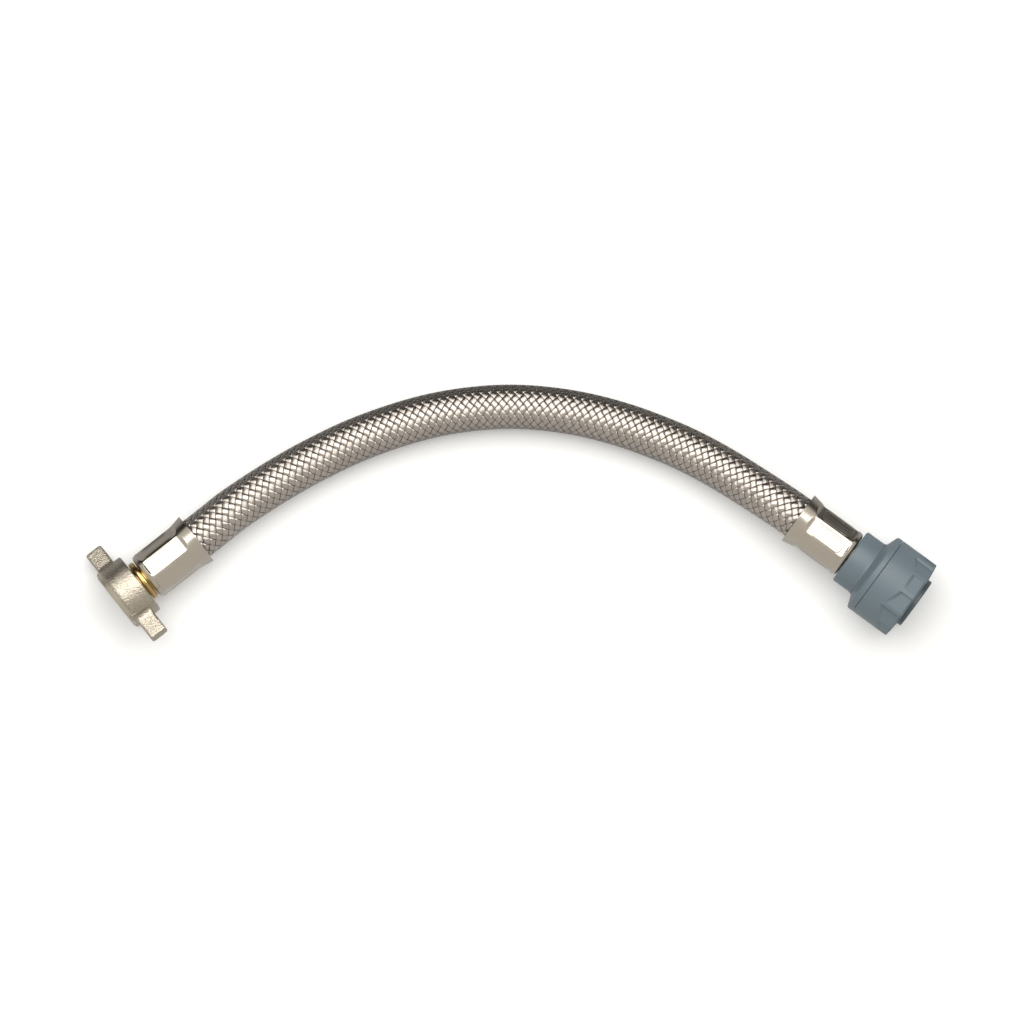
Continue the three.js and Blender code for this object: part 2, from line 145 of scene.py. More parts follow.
def outline(corners: Sequence[tuple[float, ...]], step: float = 0.8) -> np.ndarray:
    """Rounds the corners of a closed outline and divides its straight runs.

    Each corner is a parabola that leaves and meets the straight runs a rounding away from it.

    Args:
        corners: (radius, place along the axis, rounding) of each, and a step for the run after it if
            that differs.
        step: the longest division of a straight run.

    Returns:
        The points (count, 2) of the closed line, without its first point repeated.
    """
    points = np.array([c[:2] for c in corners], float)
    before = np.roll(points, 1, axis=0)
    after = np.roll(points, -1, axis=0)
    t = np.linspace(0.0, 1.0, 6)[:, None]
    arcs = []
    for corner, a, b, c in zip(points, before, after, corners):
        start = corner + (a - corner) * c[2] / np.linalg.norm(a - corner)
        end = corner + (b - corner) * c[2] / np.linalg.norm(b - corner)
        arcs.append((1 - t) ** 2 * start + 2 * t * (1 - t) * corner + t**2 * end)
    line = []
    for i, arc in enumerate(arcs):
        line.append(arc)
        start, end = arc[-1], arcs[(i + 1) % len(arcs)][0]
        length = np.linalg.norm(end - start)
        run_step = corners[i][3] if len(corners[i]) > 3 else step
        count = int(length / run_step)
        near = min(0.1, length / 4) / max(length, 1e-9)
        shares = np.unique(np.concatenate([[near], np.linspace(0, 1, count + 2)[1:-1], [1 - near]]))
        if length > 1e-3:
            line.append(start + shares[:, None] * (end - start))
    return np.concatenate(line)


@dataclass
class Shell:
    """A closed skin of four-sided faces.

    Attributes:
        points: (rows, columns, 3) in metres. The columns close round.
        rings: whether the rows close round too. Otherwise each end gets a flat face.
        u: the texture's place across the columns, in millimetres, with one more than there are columns.
        v: the same along the rows, with one more than there are rows.
        values: (rows, columns) of each named value that a material reads.
    """

    points: np.ndarray
    rings: bool
    u: np.ndarray
    v: np.ndarray
    values: dict[str, np.ndarray] = field(default_factory=dict)

    def faces(self) -> tuple[np.ndarray, list[np.ndarray]]:
        """Works out the faces, all facing outward.

        Returns:
            The four-sided faces (count, 4), and the flat end faces.
        """
        rows, columns = self.points.shape[:2]
        index = np.arange(rows * columns).reshape(rows, columns)
        last = rows if self.rings else rows - 1
        near = index[:last]
        far = np.roll(index, -1, axis=0)[:last]
        quads = np.stack([near, np.roll(near, -1, axis=1), np.roll(far, -1, axis=1), far], axis=-1)
        quads = quads.reshape(-1, 4)
        caps = [] if self.rings else [index[0][::-1], index[-1]]
        corners = self.points.reshape(-1, 3)
        corners = corners - corners.mean(axis=0)
        a, b, c, d = (corners[quads[:, k]] for k in range(4))
        volume = np.einsum("ij,ij->", a, np.cross(b, c)) + np.einsum("ij,ij->", a, np.cross(c, d))
        if volume < 0:
            quads = quads[:, ::-1]
            caps = [cap[::-1] for cap in caps]
        return quads, caps

    def texture(self, quads: np.ndarray) -> np.ndarray:
        """Works out the texture's place at each corner of the four-sided faces.

        Args:
            quads: the faces that faces() gave.

        Returns:
            The places (count, 4, 2).
        """
        columns = self.points.shape[1]
        row, column = quads // columns, quads % columns
        # A face that crosses the seam takes the seam's far side, so that the texture doesn't run back.
        over = (column.max(axis=1) - column.min(axis=1) > 1)[:, None] & (column == 0)
        column = np.where(over, columns, column)
        rows = self.points.shape[0]
        over = (row.max(axis=1) - row.min(axis=1) > 1)[:, None] & (row == 0)
        row = np.where(over, rows, row)
        return np.stack([self.u[column], self.v[row]], axis=-1)


def make_object(name: str, shells: Sequence[Shell]) -> bpy.types.Object:
    """Makes one mesh object from closed skins.

    Args:
        name: the piece's name.
        shells: its skins.

    Returns:
        The object, in the scene's collection.
    """
    points, faces, sizes, places, start = [], [], [], [], 0
    for shell in shells:
        quads, caps = shell.faces()
        points.append(shell.points.reshape(-1, 3))
        faces.append(quads.ravel() + start)
        sizes.append(np.full(len(quads), 4))
        places.append(shell.texture(quads).reshape(-1, 2))
        for cap in caps:
            faces.append(cap + start)
            sizes.append([len(cap)])
            places.append(np.zeros((len(cap), 2)))
        start += len(points[-1])
    corners = np.concatenate(faces).astype(np.int32)
    totals = np.concatenate(sizes).astype(np.int32)
    mesh = bpy.data.meshes.new(name)
    mesh.vertices.add(start)
    mesh.vertices.foreach_set("co", np.concatenate(points).astype(np.float32).ravel())
    mesh.loops.add(len(corners))
    mesh.loops.foreach_set("vertex_index", corners)
    mesh.polygons.add(len(totals))
    mesh.polygons.foreach_set("loop_start", np.cumsum(totals, dtype=np.int32) - totals)
    mesh.polygons.foreach_set("use_smooth", totals == 4)
    texture = mesh.uv_layers.new(name="across_along")
    texture.uv.foreach_set("vector", np.concatenate(places).astype(np.float32).ravel())
    for key in shells[0].values:
        layer = mesh.attributes.new(key, "FLOAT", "POINT")
        joined = np.concatenate([s.values[key].ravel() for s in shells])
        layer.data.foreach_set("value", joined.astype(np.float32))
    mesh.update(calc_edges=True)
    made = bpy.data.objects.new(name, mesh)
    bpy.context.scene.collection.objects.link(made)
    return made


# ---------------------------------------------------------------- axes and the route
@dataclass(frozen=True)
class Axis:
    """A straight line in the row frame, with two directions square to it.

    Attributes:
        origin: where the line starts, in metres.
        out: the way along it.
        level: square to it and level.
        up: square to both.
    """

    origin: np.ndarray
    out: np.ndarray
    level: np.ndarray
    up: np.ndarray

    @classmethod
    def of_joint(cls, name: str, near: Sequence[float]) -> "Axis":
        """Takes the line of a joint, and starts it beside a point.

        Args:
            name: the joint's name in the record.
            near: the point, in metres.

        Returns:
            The axis.
        """
        joint = next(j for j in frame["joints"] if j["name"] == name)
        out = np.array(joint["axis"], float)
        out /= np.linalg.norm(out)
        anchor = np.array(joint["pos_m"], float)
        origin = anchor + out * np.dot(np.array(near) - anchor, out)
        level = np.cross((0.0, 0.0, 1.0), out)
        level /= np.linalg.norm(level)
        return cls(origin, out, level, np.cross(out, level))

    def place(self, radius: np.ndarray, along: np.ndarray, angle: np.ndarray) -> np.ndarray:
        """Turns places about the axis into points.

        Args:
            radius: the distance from the axis, in millimetres.
            along: the distance along it, in millimetres.
            angle: from up, towards level, in radians.

        Returns:
            The points, in metres.
        """
        across = np.cos(angle)[..., None] * self.up + np.sin(angle)[..., None] * self.level
        return self.origin + MM * (along[..., None] * self.out + radius[..., None] * across)

    def turned(
        self,
        line: np.ndarray,
        angles: np.ndarray,
        shape: Callable[[np.ndarray, np.ndarray, np.ndarray], np.ndarray] | None = None,
        value: Callable[[np.ndarray, np.ndarray, np.ndarray], np.ndarray] | None = None,
    ) -> Shell:
        """Turns a closed outline about the axis.

        Args:
            line: the outline's points (radius, along), in millimetres.
            angles: the turned positions, in radians.
            shape: gives the radius of each place from its radius, place along the axis and angle.
            value: gives the material's "mask" in the same way.

        Returns:
            The skin.
        """
        angle, radius = np.meshgrid(angles, line[:, 0])
        along = np.repeat(line[:, 1][:, None], len(angles), axis=1)
        mask = np.zeros_like(radius) if value is None else value(radius, along, angle)
        if shape is not None:
            radius = shape(radius, along, angle)
        steps = np.linalg.norm(np.diff(line, axis=0, append=line[:1]), axis=1)
        run = np.concatenate([[0.0], np.cumsum(steps)])
        around = np.append(angles, angles[0] + TURN) * line[:, 0].max()
        return Shell(self.place(radius, along, angle), True, around, run, {"mask": mask})


class Route:
    """The hose's centreline, a smooth curve through the points, with a frame that stays upright."""

    def __init__(self, points: np.ndarray) -> None:
        """Measures the curve.

        A centripetal spline: each span is a cubic whose slopes come from its neighbours, with the spans
        timed by the square root of their length.

        Args:
            points: the points that it goes through, in metres.
        """
        ends = [2 * points[0] - points[1], 2 * points[-1] - points[-2]]
        p = np.concatenate([[ends[0]], points, [ends[1]]])
        dt = np.linalg.norm(np.diff(p, axis=0), axis=1) ** 0.5
        p0, p1, p2, p3 = p[:-3, None], p[1:-2, None], p[2:-1, None], p[3:, None]
        d0, d1, d2 = (x[:, None, None] for x in (dt[:-2], dt[1:-1], dt[2:]))
        m1 = ((p1 - p0) / d0 - (p2 - p0) / (d0 + d1) + (p2 - p1) / d1) * d1
        m2 = ((p2 - p1) / d1 - (p3 - p1) / (d1 + d2) + (p3 - p2) / d2) * d1
        t = np.linspace(0.0, 1.0, 40, endpoint=False)[None, :, None]
        cubic = (
            p1
            + m1 * t
            + (3 * (p2 - p1) - 2 * m1 - m2) * t**2
            + (2 * (p1 - p2) + m1 + m2) * t**3
        )
        self.points = np.concatenate([cubic.reshape(-1, 3), points[-1:]])
        steps = np.linalg.norm(np.diff(self.points, axis=0), axis=1)
        self.run = np.concatenate([[0.0], np.cumsum(steps)]) / MM
        way = np.gradient(self.points, axis=0)
        self.way = way / np.linalg.norm(way, axis=1)[:, None]

    @property
    def length(self) -> float:
        """The curve's length, in millimetres."""
        return float(self.run[-1])

    def place(self, radius: np.ndarray, along: np.ndarray, angle: np.ndarray) -> np.ndarray:
        """Turns places about the curve into points.

        Args:
            radius: the distance from the curve, in millimetres.
            along: the distance along it, in millimetres.
            angle: round it from up, in radians.

        Returns:
            The points, in metres.
        """
        centre, way = (
            np.stack([np.interp(along, self.run, table[:, k]) for k in range(3)], axis=-1)
            for table in (self.points, self.way)
        )
        level = np.cross((0.0, 0.0, 1.0), way)
        level /= np.linalg.norm(level, axis=-1)[..., None]
        up = np.cross(way, level)
        across = np.cos(angle)[..., None] * up + np.sin(angle)[..., None] * level
        return centre + MM * radius[..., None] * across


# ---------------------------------------------------------------- materials
def linear(hex_colour: int) -> tuple[float, float, float, float]:
    """Turns an sRGB colour such as 0xA39B92 to a linear one with an alpha of 1."""
    parts = [((hex_colour >> shift) & 255) / 255 for shift in (16, 8, 0)]
    turned = [c / 12.92 if c <= 0.04045 else ((c + 0.055) / 1.055) ** 2.4 for c in parts]
    return (*turned, 1.0)


def add_node(
    tree: bpy.types.NodeTree,
    kind: str,
    inputs: dict[str | int, object],
    **settings: object,
) -> bpy.types.Node:
    """Adds a shader node.

    Args:
        tree: where it goes.
        kind: its type, without "ShaderNode".
        inputs: a constant or another node's socket for each input.
        settings: its own properties.

    Returns:
        The node.
    """
    node = tree.nodes.new("ShaderNode" + kind)
    for key, value in settings.items():
        setattr(node, key, value)
    for key, value in inputs.items():
        if isinstance(value, bpy.types.NodeSocket):
            tree.links.new(value, node.inputs[key])
        else:
            node.inputs[key].default_value = value
    return node


@dataclass(frozen=True)
class Finish:
    """A solid material with a fine grain in its surface.

    Attributes:
        name: the real material and how it was made.
        colour: its sRGB colour.
        metallic: 1 for a metal.
        roughness: from 0, a mirror, to 1.
        grain_mm: the size of the grain.
        grain_depth_mm: its height.
        tone: how far the grain changes the colour.
        worn: how far the large patches change the roughness.
        smooth_where_masked: whether the "mask" value takes the grain away.
        specular: the strength of a non-metal's gloss.
    """

    name: str
    colour: int
    metallic: float
    roughness: float
    grain_mm: float
    grain_depth_mm: float
    tone: float = 0.06
    worn: float = 0.05
    smooth_where_masked: bool = False
    specular: float = 0.5

    def build(self) -> bpy.types.Material:
        """Makes the material, once.

        Returns:
            The material.
        """
        made = bpy.data.materials.get(self.name)
        if made is None:
            made = bpy.data.materials.new(self.name)
            made.use_nodes = True
            self.shade(made.node_tree, made.node_tree.nodes["Principled BSDF"])
        return made

    def shade(self, tree: bpy.types.NodeTree, surface: bpy.types.Node) -> None:
        """Sets the surface's colour, roughness and grain.

        Args:
            tree: the material's nodes.
            surface: its Principled BSDF.
        """
        place = add_node(tree, "TexCoord", {}).outputs["Object"]
        grain = add_node(
            tree,
            "TexNoise",
            {"Vector": place, "Scale": 1 / (self.grain_mm * MM), "Detail": 3.0, "Roughness": 0.55},
        ).outputs[0]
        patches = add_node(
            tree, "TexNoise", {"Vector": place, "Scale": 1 / (9 * MM), "Detail": 2.0}
        ).outputs[0]
        amount: float | bpy.types.NodeSocket = 1.0
        if self.smooth_where_masked:
            mask = add_node(tree, "Attribute", {}, attribute_name="mask").outputs["Fac"]
            amount = add_node(
                tree, "Math", {0: 1.0, 1: mask}, operation="SUBTRACT", use_clamp=True
            ).outputs[0]
        shade = add_node(
            tree,
            "MapRange",
            {"Value": grain, "From Min": 0.3, "From Max": 0.7, "To Min": 1 - self.tone, "To Max": 1.0},
        ).outputs[0]
        mix = add_node(
            tree,
            "Mix",
            {"Factor": amount, 6: linear(self.colour), 7: self.shaded(tree, shade)},
            data_type="RGBA",
        )
        tree.links.new(mix.outputs[2], surface.inputs["Base Color"])
        rough = add_node(
            tree,
            "MapRange",
            {
                "Value": patches,
                "From Min": 0.3,
                "From Max": 0.7,
                "To Min": self.roughness - self.worn,
                "To Max": self.roughness + self.worn,
            },
        ).outputs[0]
        tree.links.new(rough, surface.inputs["Roughness"])
        surface.inputs["Metallic"].default_value = self.metallic
        surface.inputs["Specular IOR Level"].default_value = self.specular
        bump = add_node(
            tree,
            "Bump",
            {"Strength": amount, "Distance": self.grain_depth_mm * MM, "Height": grain},
        )
        tree.links.new(bump.outputs[0], surface.inputs["Normal"])

    def shaded(self, tree: bpy.types.NodeTree, shade: bpy.types.NodeSocket) -> bpy.types.NodeSocket:
        """Gives the colour times a shade.

        Args:
            tree: the material's nodes.
            shade: the factor.

        Returns:
            The colour's socket.
        """
        return add_node(
            tree, "VectorMath", {0: linear(self.colour)[:3], "Scale": shade}, operation="SCALE"
        ).outputs[0]


@dataclass(frozen=True)
class WireFinish(Finish):
    """A flat bundle of drawn wires: ridges along it, with painted shade where it dips under its
    neighbours.

    Attributes:
        wire_mm: one wire's width.
        painted_dip_shade: the colour's factor where a bundle dips lowest, painted shade between the
            bundles.
    """

    wire_mm: float = 0.25
    painted_dip_shade: float = 0.1

    def shade(self, tree: bpy.types.NodeTree, surface: bpy.types.Node) -> None:
        """Sets the surface's colour, roughness and ridges.

        Args:
            tree: the material's nodes.
            surface: its Principled BSDF.
        """
        across = add_node(tree, "SeparateXYZ", {0: add_node(tree, "UVMap", {}).outputs[0]})
        turns = add_node(
            tree,
            "Math",
            {0: across.outputs[0], 1: TURN / self.wire_mm},
            operation="MULTIPLY",
        ).outputs[0]
        ridges = add_node(tree, "Math", {0: turns}, operation="COSINE").outputs[0]
        mask = add_node(tree, "Attribute", {}, attribute_name="mask").outputs["Fac"]
        tone = add_node(tree, "Attribute", {}, attribute_name="tone").outputs["Fac"]
        place = add_node(tree, "TexCoord", {}).outputs["Object"]
        patches = add_node(
            tree,
            "TexNoise",
            {"Vector": place, "Scale": 1 / (self.grain_mm * MM), "Detail": 3.0},
        ).outputs[0]
        # Painted shade: the colour falls to the dip factor where the bundle dips lowest, under its
        # neighbours.
        height = add_node(
            tree,
            "MapRange",
            {"Value": mask, "From Min": 0.35, "From Max": 0.85, "To Min": self.painted_dip_shade, "To Max": 1.0},
        ).outputs[0]
        bright = add_node(tree, "Math", {0: height, 1: tone}, operation="MULTIPLY").outputs[0]
        tree.links.new(self.shaded(tree, bright), surface.inputs["Base Color"])
        rough = add_node(
            tree,
            "MapRange",
            {
                "Value": patches,
                "From Min": 0.3,
                "From Max": 0.7,
                "To Min": self.roughness - self.worn,
                "To Max": self.roughness + self.worn,
            },
        ).outputs[0]
        tree.links.new(rough, surface.inputs["Roughness"])
        surface.inputs["Metallic"].default_value = self.metallic
        bump = add_node(
            tree, "Bump", {"Distance": self.grain_depth_mm * MM, "Height": ridges, "Strength": 0.6}
        )
        tree.links.new(bump.outputs[0], surface.inputs["Normal"])


@dataclass(frozen=True)
class PaperFloor(Finish):
    """White paper that metal mirrors as a grey floor, darker towards the dark card.

    Attributes:
        lift: light added to what the camera sees of it.
        mirrored: how bright metal mirrors it in front of the object and behind it.
        turn_m: between which places, in metres, it goes from one to the other.
    """

    lift: float = 0.1
    mirrored: tuple[float, float] = (0.62, 0.1)
    turn_m: tuple[float, float] = (-0.02, 0.1)

    def shade(self, tree: bpy.types.NodeTree, surface: bpy.types.Node) -> None:
        """Sets the paper's colour and what metal mirrors of it.

        Args:
            tree: the material's nodes.
            surface: its Principled BSDF.
        """
        ray = add_node(tree, "LightPath", {})
        glossy = ray.outputs["Is Glossy Ray"]
        place = add_node(tree, "TexCoord", {}).outputs["Object"]
        back = add_node(tree, "SeparateXYZ", {0: place}).outputs[1]
        seen = add_node(
            tree,
            "MapRange",
            {
                "Value": back,
                "From Min": self.turn_m[0],
                "From Max": self.turn_m[1],
                "To Min": self.mirrored[0],
                "To Max": self.mirrored[1],
            },
        ).outputs[0]
        mirrored = add_node(tree, "Math", {0: glossy, 1: seen}, operation="MULTIPLY").outputs[0]
        lift = add_node(
            tree,
            "Math",
            {0: ray.outputs["Is Camera Ray"], 1: self.lift, 2: mirrored},
            operation="MULTIPLY_ADD",
        ).outputs[0]
        paper = add_node(
            tree, "Math", {0: 1.0, 1: glossy}, operation="SUBTRACT", use_clamp=True
        ).outputs[0]
        tree.links.new(self.shaded(tree, paper), surface.inputs["Base Color"])
        tree.links.new(lift, surface.inputs["Emission Strength"])
        surface.inputs["Emission Color"].default_value = (1.0, 1.0, 1.0, 1.0)
        surface.inputs["Roughness"].default_value = self.roughness
        surface.inputs["Specular IOR Level"].default_value = 0.0


# Stainless wire, drawn and braided in flat bundles of eight, with painted shade where they go under each
# other.
BRAIDED_STEEL = WireFinish("steel_wire_braided", 0xCAC1B8, 1.0, 0.24, 1.2, 0.02, worn=0.05)
# Stainless tube, deep-drawn to a cup and pressed to eight flats.
PRESSED_STEEL = Finish("stainless_tube_pressed", 0xCFC6B8, 1.0, 0.22, 0.5, 0.004, tone=0.03)
# Brass, hot-stamped and nickel-plated: sandy skin, smooth where it was turned.
PLATED_BRASS = Finish(
    "brass_stamped_nickel_plated", 0xD0C6B4, 1.0, 0.3, 0.5, 0.2, tone=0.4, smooth_where_masked=True
)
# Free-cutting brass, turned bright on a lathe.
TURNED_BRASS = Finish("brass_turned", 0xCDAF74, 1.0, 0.22, 0.3, 0.003, tone=0.04)
# Black rubber, extruded.
LINER_RUBBER = Finish("rubber_extruded", 0x1F1E1C, 0.0, 0.75, 0.6, 0.01)
# Black rubber, moulded in rings.
SEAL_RUBBER = Finish("rubber_moulded", 0x1A1A1A, 0.0, 0.6, 0.8, 0.006)
# Red-brown fibre sheet, punched.
PUNCHED_FIBRE = Finish("fibre_sheet_punched", 0x7A2E25, 0.0, 0.85, 0.3, 0.02, tone=0.25)
# Grey-blue acetal, injection-moulded with a satin skin.
MOULDED_PLASTIC = Finish("acetal_moulded_satin", 0x66737A, 0.0, 0.42, 0.35, 0.006, tone=0.03)
# The same acetal, its colour darkened as painted shade.
COLLET_PLASTIC = Finish("acetal_moulded_painted_shade", 0x4C575B, 0.0, 0.4, 0.35, 0.006, tone=0.03)
# Spring steel strip, stamped and left bright.
SPRING_STEEL = Finish("spring_steel_stamped", 0xC2C0BC, 1.0, 0.25, 0.4, 0.004)


def add_piece(
    name: str,
    shells: Sequence[Shell],
    finish: Finish,
    body: Body,
    slot: Slot,
    *nodes: str,
) -> bpy.types.Object:
    """Makes a piece, gives it its finish and sets it on its body.

    Args:
        name: the piece's name.
        shells: its skins.
        finish: its material.
        body: the body it rides.
        slot: the record's slot for its finish; not used.
        nodes: the CAD nodes that it stands for.

    Returns:
        The piece.
    """
    made = make_object(name, shells)
    made.data.materials.append(finish.build())
    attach(made, body.value)
    if nodes:
        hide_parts(*nodes)
    log.info("%s: %d faces, rides %s", name, len(made.data.polygons), body.value)
    return made


def even_angles(count: int) -> np.ndarray:
    """Gives angles spread evenly over a turn, in radians."""
    return np.arange(count) * TURN / count


# ---------------------------------------------------------------- the hose
@dataclass
class Hose:
    """The rubber liner and the woven steel braid on it, in millimetres."""

    route: Route
    in_ferrule: float = 18.9
    liner_radius: float = 6.2
    liner_bore: float = 4.7
    liner_sides: int = 48
    outer_radius: float = 7.2
    carriers: int = 12
    pitch: float = 31.5
    strand_width: float = 1.98
    strand_thickness: float = 0.42
    edge_share: float = 0.7
    wave: float = 0.23
    steps_per_crossing: int = 6
    braid_in_ferrule: float = 6.0
    turned: float = 7.5
    strands_per_piece: int = 6
    tone_seed: int = 12

    def build(self) -> None:
        braid = self.braid()
        liner, rings = self.liner()
        [float(x) for x in self.route.place(*self.mouth())]

    def mouth(self) -> tuple[np.ndarray, np.ndarray, np.ndarray]:
        """Gives the place where the hose leaves the nut end's ferrule, for Route.place."""
        return np.array(0.0), np.array(self.in_ferrule), np.array(0.0)

    def liner(self) -> tuple[bpy.types.Object, list[list[float]]]:
        """Makes the rubber tube, one ring of corners at each millimetre and a half.

        Returns:
            The tube, and its rings' centres in metres.
        """
        count = int(self.route.length / 1.5)
        out = np.linspace(0.0, self.route.length, count)
        along = np.concatenate([out, out[::-1]])
        radius = np.repeat([self.liner_radius, self.liner_bore], count)
        angle, wide = np.meshgrid(even_angles(self.liner_sides), radius)
        places = np.repeat(along[:, None], self.liner_sides, axis=1)
        points = self.route.place(wide, places, angle)
        u = np.linspace(0.0, TURN * self.liner_radius, self.liner_sides + 1)
        shell = Shell(points, True, u, np.append(along, 0.0), {"mask": np.zeros_like(wide)})
        made = add_piece(
            "liner_tube", [shell], LINER_RUBBER, Body.HOSE, Slot.LINER, "hose_liner"
        )
        centres = self.route.place(np.zeros(count), out, np.zeros(count))
        return made, centres.tolist()

    def strand(self, number: int, hand: int, tone: float) -> Shell:
        """Makes one flat bundle of wires that winds along the hose.

        On the unrolled hose a bundle is a straight band at the braid's angle. Its height over the
        middle of the weave is a cosine of how far it has come across the bundles of the other hand,
        so it goes over one and under the next. Its back is arched, thin at both edges.

        Args:
            number: which carrier it came from.
            hand: 1 for the bundles that wind one way, -1 for the others.
            tone: its brightness.

        Returns:
            The skin.
        """
        middle = self.outer_radius - self.wave - self.strand_thickness / 2
        climb = TURN / self.pitch
        lean = math.atan(climb * middle)
        spacing = TURN / self.carriers
        crossing = self.pitch / self.carriers / 2
        start = self.in_ferrule - self.braid_in_ferrule
        end = self.route.length - start
        count = int((end - start) / crossing * self.steps_per_crossing)
        along = np.linspace(start, end, count)
        half = self.strand_width / 2
        top = np.linspace(-half, half, 9)
        bottom = np.linspace(half, -half, 5)
        across = np.concatenate([top, bottom])
        side = np.concatenate([np.ones(9), -np.ones(5)])
        arch = 1 - (1 - self.edge_share) * (across / half) ** 2
        rise = side * arch * self.strand_thickness / 2
        s = along[:, None] - hand * across * math.sin(lean)
        own = number * spacing + math.radians(self.turned)
        angle = own + hand * climb * along[:, None] + across * math.cos(lean) / middle
        other = (angle + hand * climb * s - math.radians(self.turned)) / spacing
        height = hand * self.wave * np.tanh(1.6 * np.cos(math.pi * (other - number))) / 0.92
        radius = middle + height + rise
        # The mask runs from the bundle's lowest place to the braid's top; the braid's material paints
        # shade where it is low.
        low, high = middle - self.wave, self.outer_radius
        mask = np.clip((radius - low) / (high - low), 0, 1)
        u = np.append(across, across[0])
        v = np.append(along, along[-1]) / math.cos(lean)
        values = {"mask": mask, "tone": np.full_like(mask, tone)}
        return Shell(self.route.place(radius, s, angle), False, u, v, values)

    def braid(self) -> list[bpy.types.Object]:
        """Makes the whole braid in a few pieces.

        Returns:
            The pieces.
        """
        tones = np.random.default_rng(self.tone_seed).uniform(0.88, 1.0, 2 * self.carriers)
        shells = [
            self.strand(number, hand, tones[number + (hand > 0) * self.carriers])
            for hand in (1, -1)
            for number in range(self.carriers)
        ]
        pieces = []
        for first in range(0, len(shells), self.strands_per_piece):
            part = shells[first : first + self.strands_per_piece]
            nodes = ["hose_braid"] if first == 0 else []
            name = f"braid_strands_{first // self.strands_per_piece + 1}"
            pieces.append(add_piece(name, part, BRAIDED_STEEL, Body.HOSE, Slot.BRAID, *nodes))
        return pieces


# ---------------------------------------------------------------- ferrules
@dataclass
class Ferrule:
    """A steel cup with a flared mouth, pressed on to the hose by eight dies, in millimetres."""

    axis: Axis
    name: str
    node: str
    lip_radius: float
    turned: float
    length: float = 20.5
    wall: float = 0.45
    mouth_radius: float = 9.05
    round_radius: float = 8.2
    flat_radius: float = 7.7
    flats: int = 8
    press_start: float = 5.2
    press_end: float = 17.9
    die_in: float = 2.2
    die_out: float = 1.2
    columns_per_flat: int = 44
    panel: tuple[float, float, float] = (2.35, 5.4, 1.3)
    ridge: float = 0.13
    ridge_width: float = 0.17
    inner_ridge: float = 0.08
    inner_ridge_at: float = 0.75

    def outside(self) -> list[tuple[float, float]]:
        """Gives the outside's corners before pressing: (radius, place along the axis)."""
        wide, middle = self.mouth_radius, self.round_radius
        return [
            (wide, 0.0),
            (wide - 0.32, 1.6),
            (wide - 0.62, 3.2),
            (middle + 0.04, 4.4),
            (middle, 5.4),
            (middle, 18.9),
            (middle - 0.35, 20.0),
            (middle - 1.3, self.length),
        ]

    def shape(self, radius: np.ndarray, along: np.ndarray, angle: np.ndarray) -> np.ndarray:
        """Presses the cup: a die's face is flat, and curves away from the axis at both its ends.

        A panel's outline stands proud of the flat as a fine ridge, with a lower one inside it. Both
        follow the distance from a rectangle with round corners.

        Args:
            radius: the distance from the axis.
            along: the distance along it.
            angle: round it.

        Returns:
            The pressed radius.
        """
        corners = np.array(self.outside())
        skin = np.interp(along, corners[:, 1], corners[:, 0])
        inset = np.clip(skin - radius, 0.0, self.wall)
        flat = TURN / self.flats
        from_middle = (angle - math.radians(self.turned)) % flat - flat / 2
        before = np.clip(self.press_start - along, 0.0, None)
        after = np.clip(along - self.press_end, 0.0, None)
        die = self.flat_radius + before**2 / (2 * self.die_in) + after**2 / (2 * self.die_out)
        pressed = np.minimum(radius, die / np.cos(from_middle) - inset)
        half_wide, half_long, corner = self.panel
        u = np.abs(self.flat_radius * np.tan(from_middle)) - half_wide + corner
        v = np.abs(along - (self.press_start + self.press_end) / 2) - half_long + corner
        distance = np.hypot(np.maximum(u, 0), np.maximum(v, 0)) + np.minimum(np.maximum(u, v), 0)
        distance = distance - corner
        ridges = self.ridge * np.exp(-((distance / self.ridge_width) ** 2))
        inner = (distance + self.inner_ridge_at) / self.ridge_width
        ridges = ridges + self.inner_ridge * np.exp(-(inner**2))
        return pressed + np.where(inset < 0.02, ridges, 0.0)

    def build(self) -> None:
        """Makes the ferrule."""
        wall = self.wall
        out = self.outside()
        corners = [(r, s, 0.15 if 0 < i < len(out) - 2 else 0.1, 0.22) for i, (r, s) in enumerate(out)]
        corners[-1] = (*out[-1], 0.3, 0.6)
        corners += [
            (self.lip_radius, self.length, 0.08, 1.0),
            (self.lip_radius, self.length - wall, 0.08, 1.0),
            (self.round_radius - 1.3, self.length - wall, 0.1, 1.0),
            (self.round_radius - wall, 18.9, 0.1, 1.0),
            (self.round_radius - wall, 5.4, 0.1, 0.5),
            (self.mouth_radius - 0.3 - wall, 2.5, 0.1, 0.5),
            (self.mouth_radius - wall, 0.0, 0.1),
        ]
        angles = even_angles(self.flats * self.columns_per_flat)
        shell = self.axis.turned(outline(corners), angles, self.shape)
        add_piece(self.name, [shell], PRESSED_STEEL, Body.HOSE, Slot.FERRULE, self.node)


